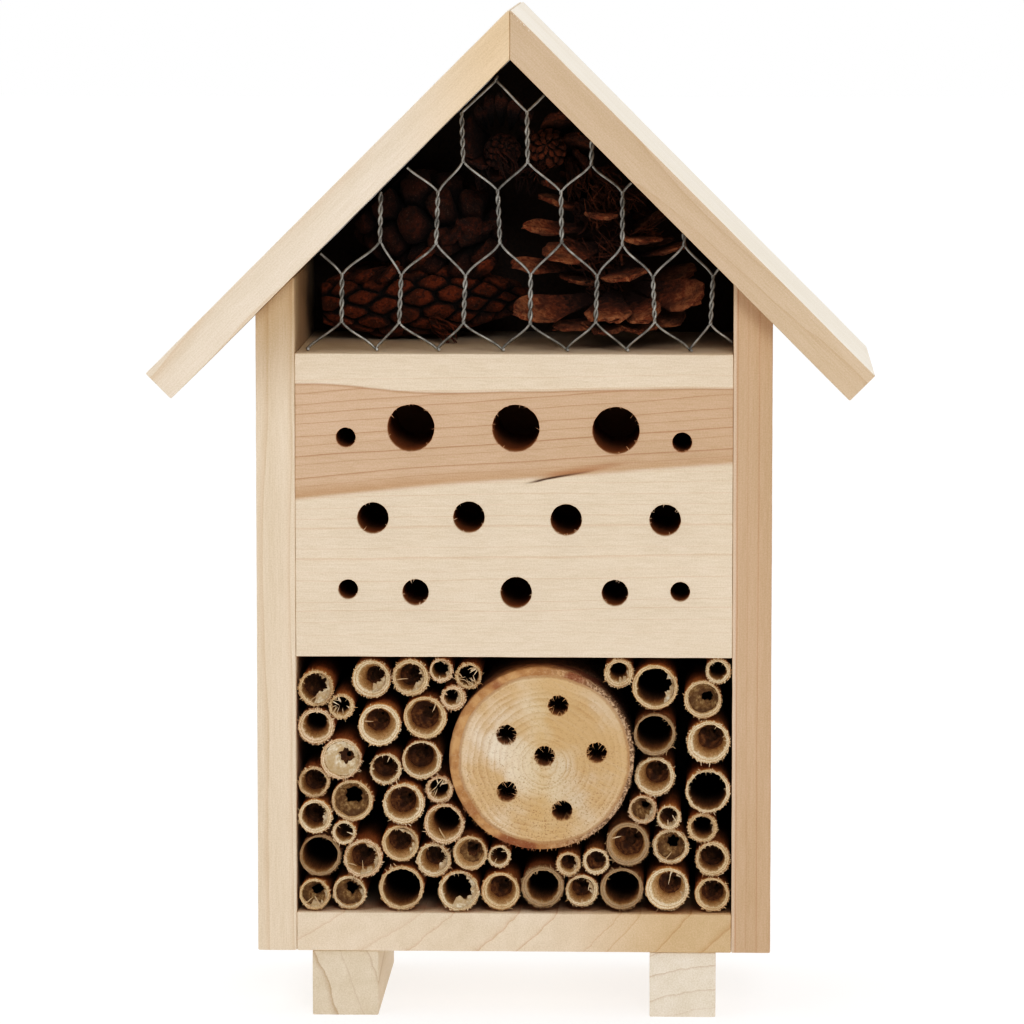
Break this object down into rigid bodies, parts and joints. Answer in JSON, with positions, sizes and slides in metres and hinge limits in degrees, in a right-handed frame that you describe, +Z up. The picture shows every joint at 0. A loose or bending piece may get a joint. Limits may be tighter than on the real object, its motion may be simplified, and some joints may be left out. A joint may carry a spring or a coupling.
{
  "type": "insect hotel",
  "caption": "House-shaped wooden insect hotel with a steep roof, pine cones behind wire netting, a drilled nesting block, and hollow stems round a drilled log slice, on two foot strips.",
  "frame": {"origin": "on the ground, under the middle of the house", "axes": "+Z up, the open front faces -Y, +X to the right seen from the front"},
  "size_m": [0.1842, 0.09, 0.2591],
  "materials": {
    "pine": "planed and sanded, untreated",
    "plywood": "sanded, untreated",
    "log_wood": "sawn end grain with rough bark",
    "dry_reed": "dry, sawn ends",
    "cone_scale": "dry and rough",
    "galvanised_wire": "dull zinc coat",
    "nail_steel": "plain"
  },
  "bodies": {
    "root": {"wall_left": "pine", "wall_right": "pine", "base_board": "pine", "foot_left": "pine", "foot_right": "pine", "roof_left": "pine", "roof_right": "pine", "drilled_block": "pine", "back_panel": "plywood", "log_slice": "log_wood", "stem_01": "dry_reed", "stem_02": "dry_reed", "stem_03": "dry_reed", "stem_04": "dry_reed", "stem_05": "dry_reed", "stem_06": "dry_reed", "stem_07": "dry_reed", "stem_08": "dry_reed", "stem_09": "dry_reed", "stem_10": "dry_reed", "stem_11": "dry_reed", "stem_12": "dry_reed", "stem_13": "dry_reed", "stem_14": "dry_reed", "stem_15": "dry_reed", "stem_16": "dry_reed", "stem_17": "dry_reed", "stem_18": "dry_reed", "stem_19": "dry_reed", "stem_20": "dry_reed", "stem_21": "dry_reed", "stem_22": "dry_reed", "stem_23": "dry_reed", "stem_24": "dry_reed", "stem_25": "dry_reed", "stem_26": "dry_reed", "stem_27": "dry_reed", "stem_28": "dry_reed", "stem_29": "dry_reed", "stem_30": "dry_reed", "stem_31": "dry_reed", "stem_32": "dry_reed", "stem_33": "dry_reed", "stem_34": "dry_reed", "stem_35": "dry_reed", "wire_netting": "galvanised_wire", "pine_cone_open": "cone_scale", "pine_cone_closed": "cone_scale", "pine_cone_upper_left": "cone_scale", "pine_cone_top": "cone_scale", "pine_cone_upper_right": "cone_scale", "pine_cone_back": "cone_scale", "roof_nail_left_front": "nail_steel", "roof_nail_left_rear": "nail_steel", "back_nail_left_low": "nail_steel", "back_nail_left_high": "nail_steel", "roof_nail_right_front": "nail_steel", "roof_nail_right_rear": "nail_steel", "back_nail_right_low": "nail_steel", "back_nail_right_high": "nail_steel"}
  },
  "joints": []
}
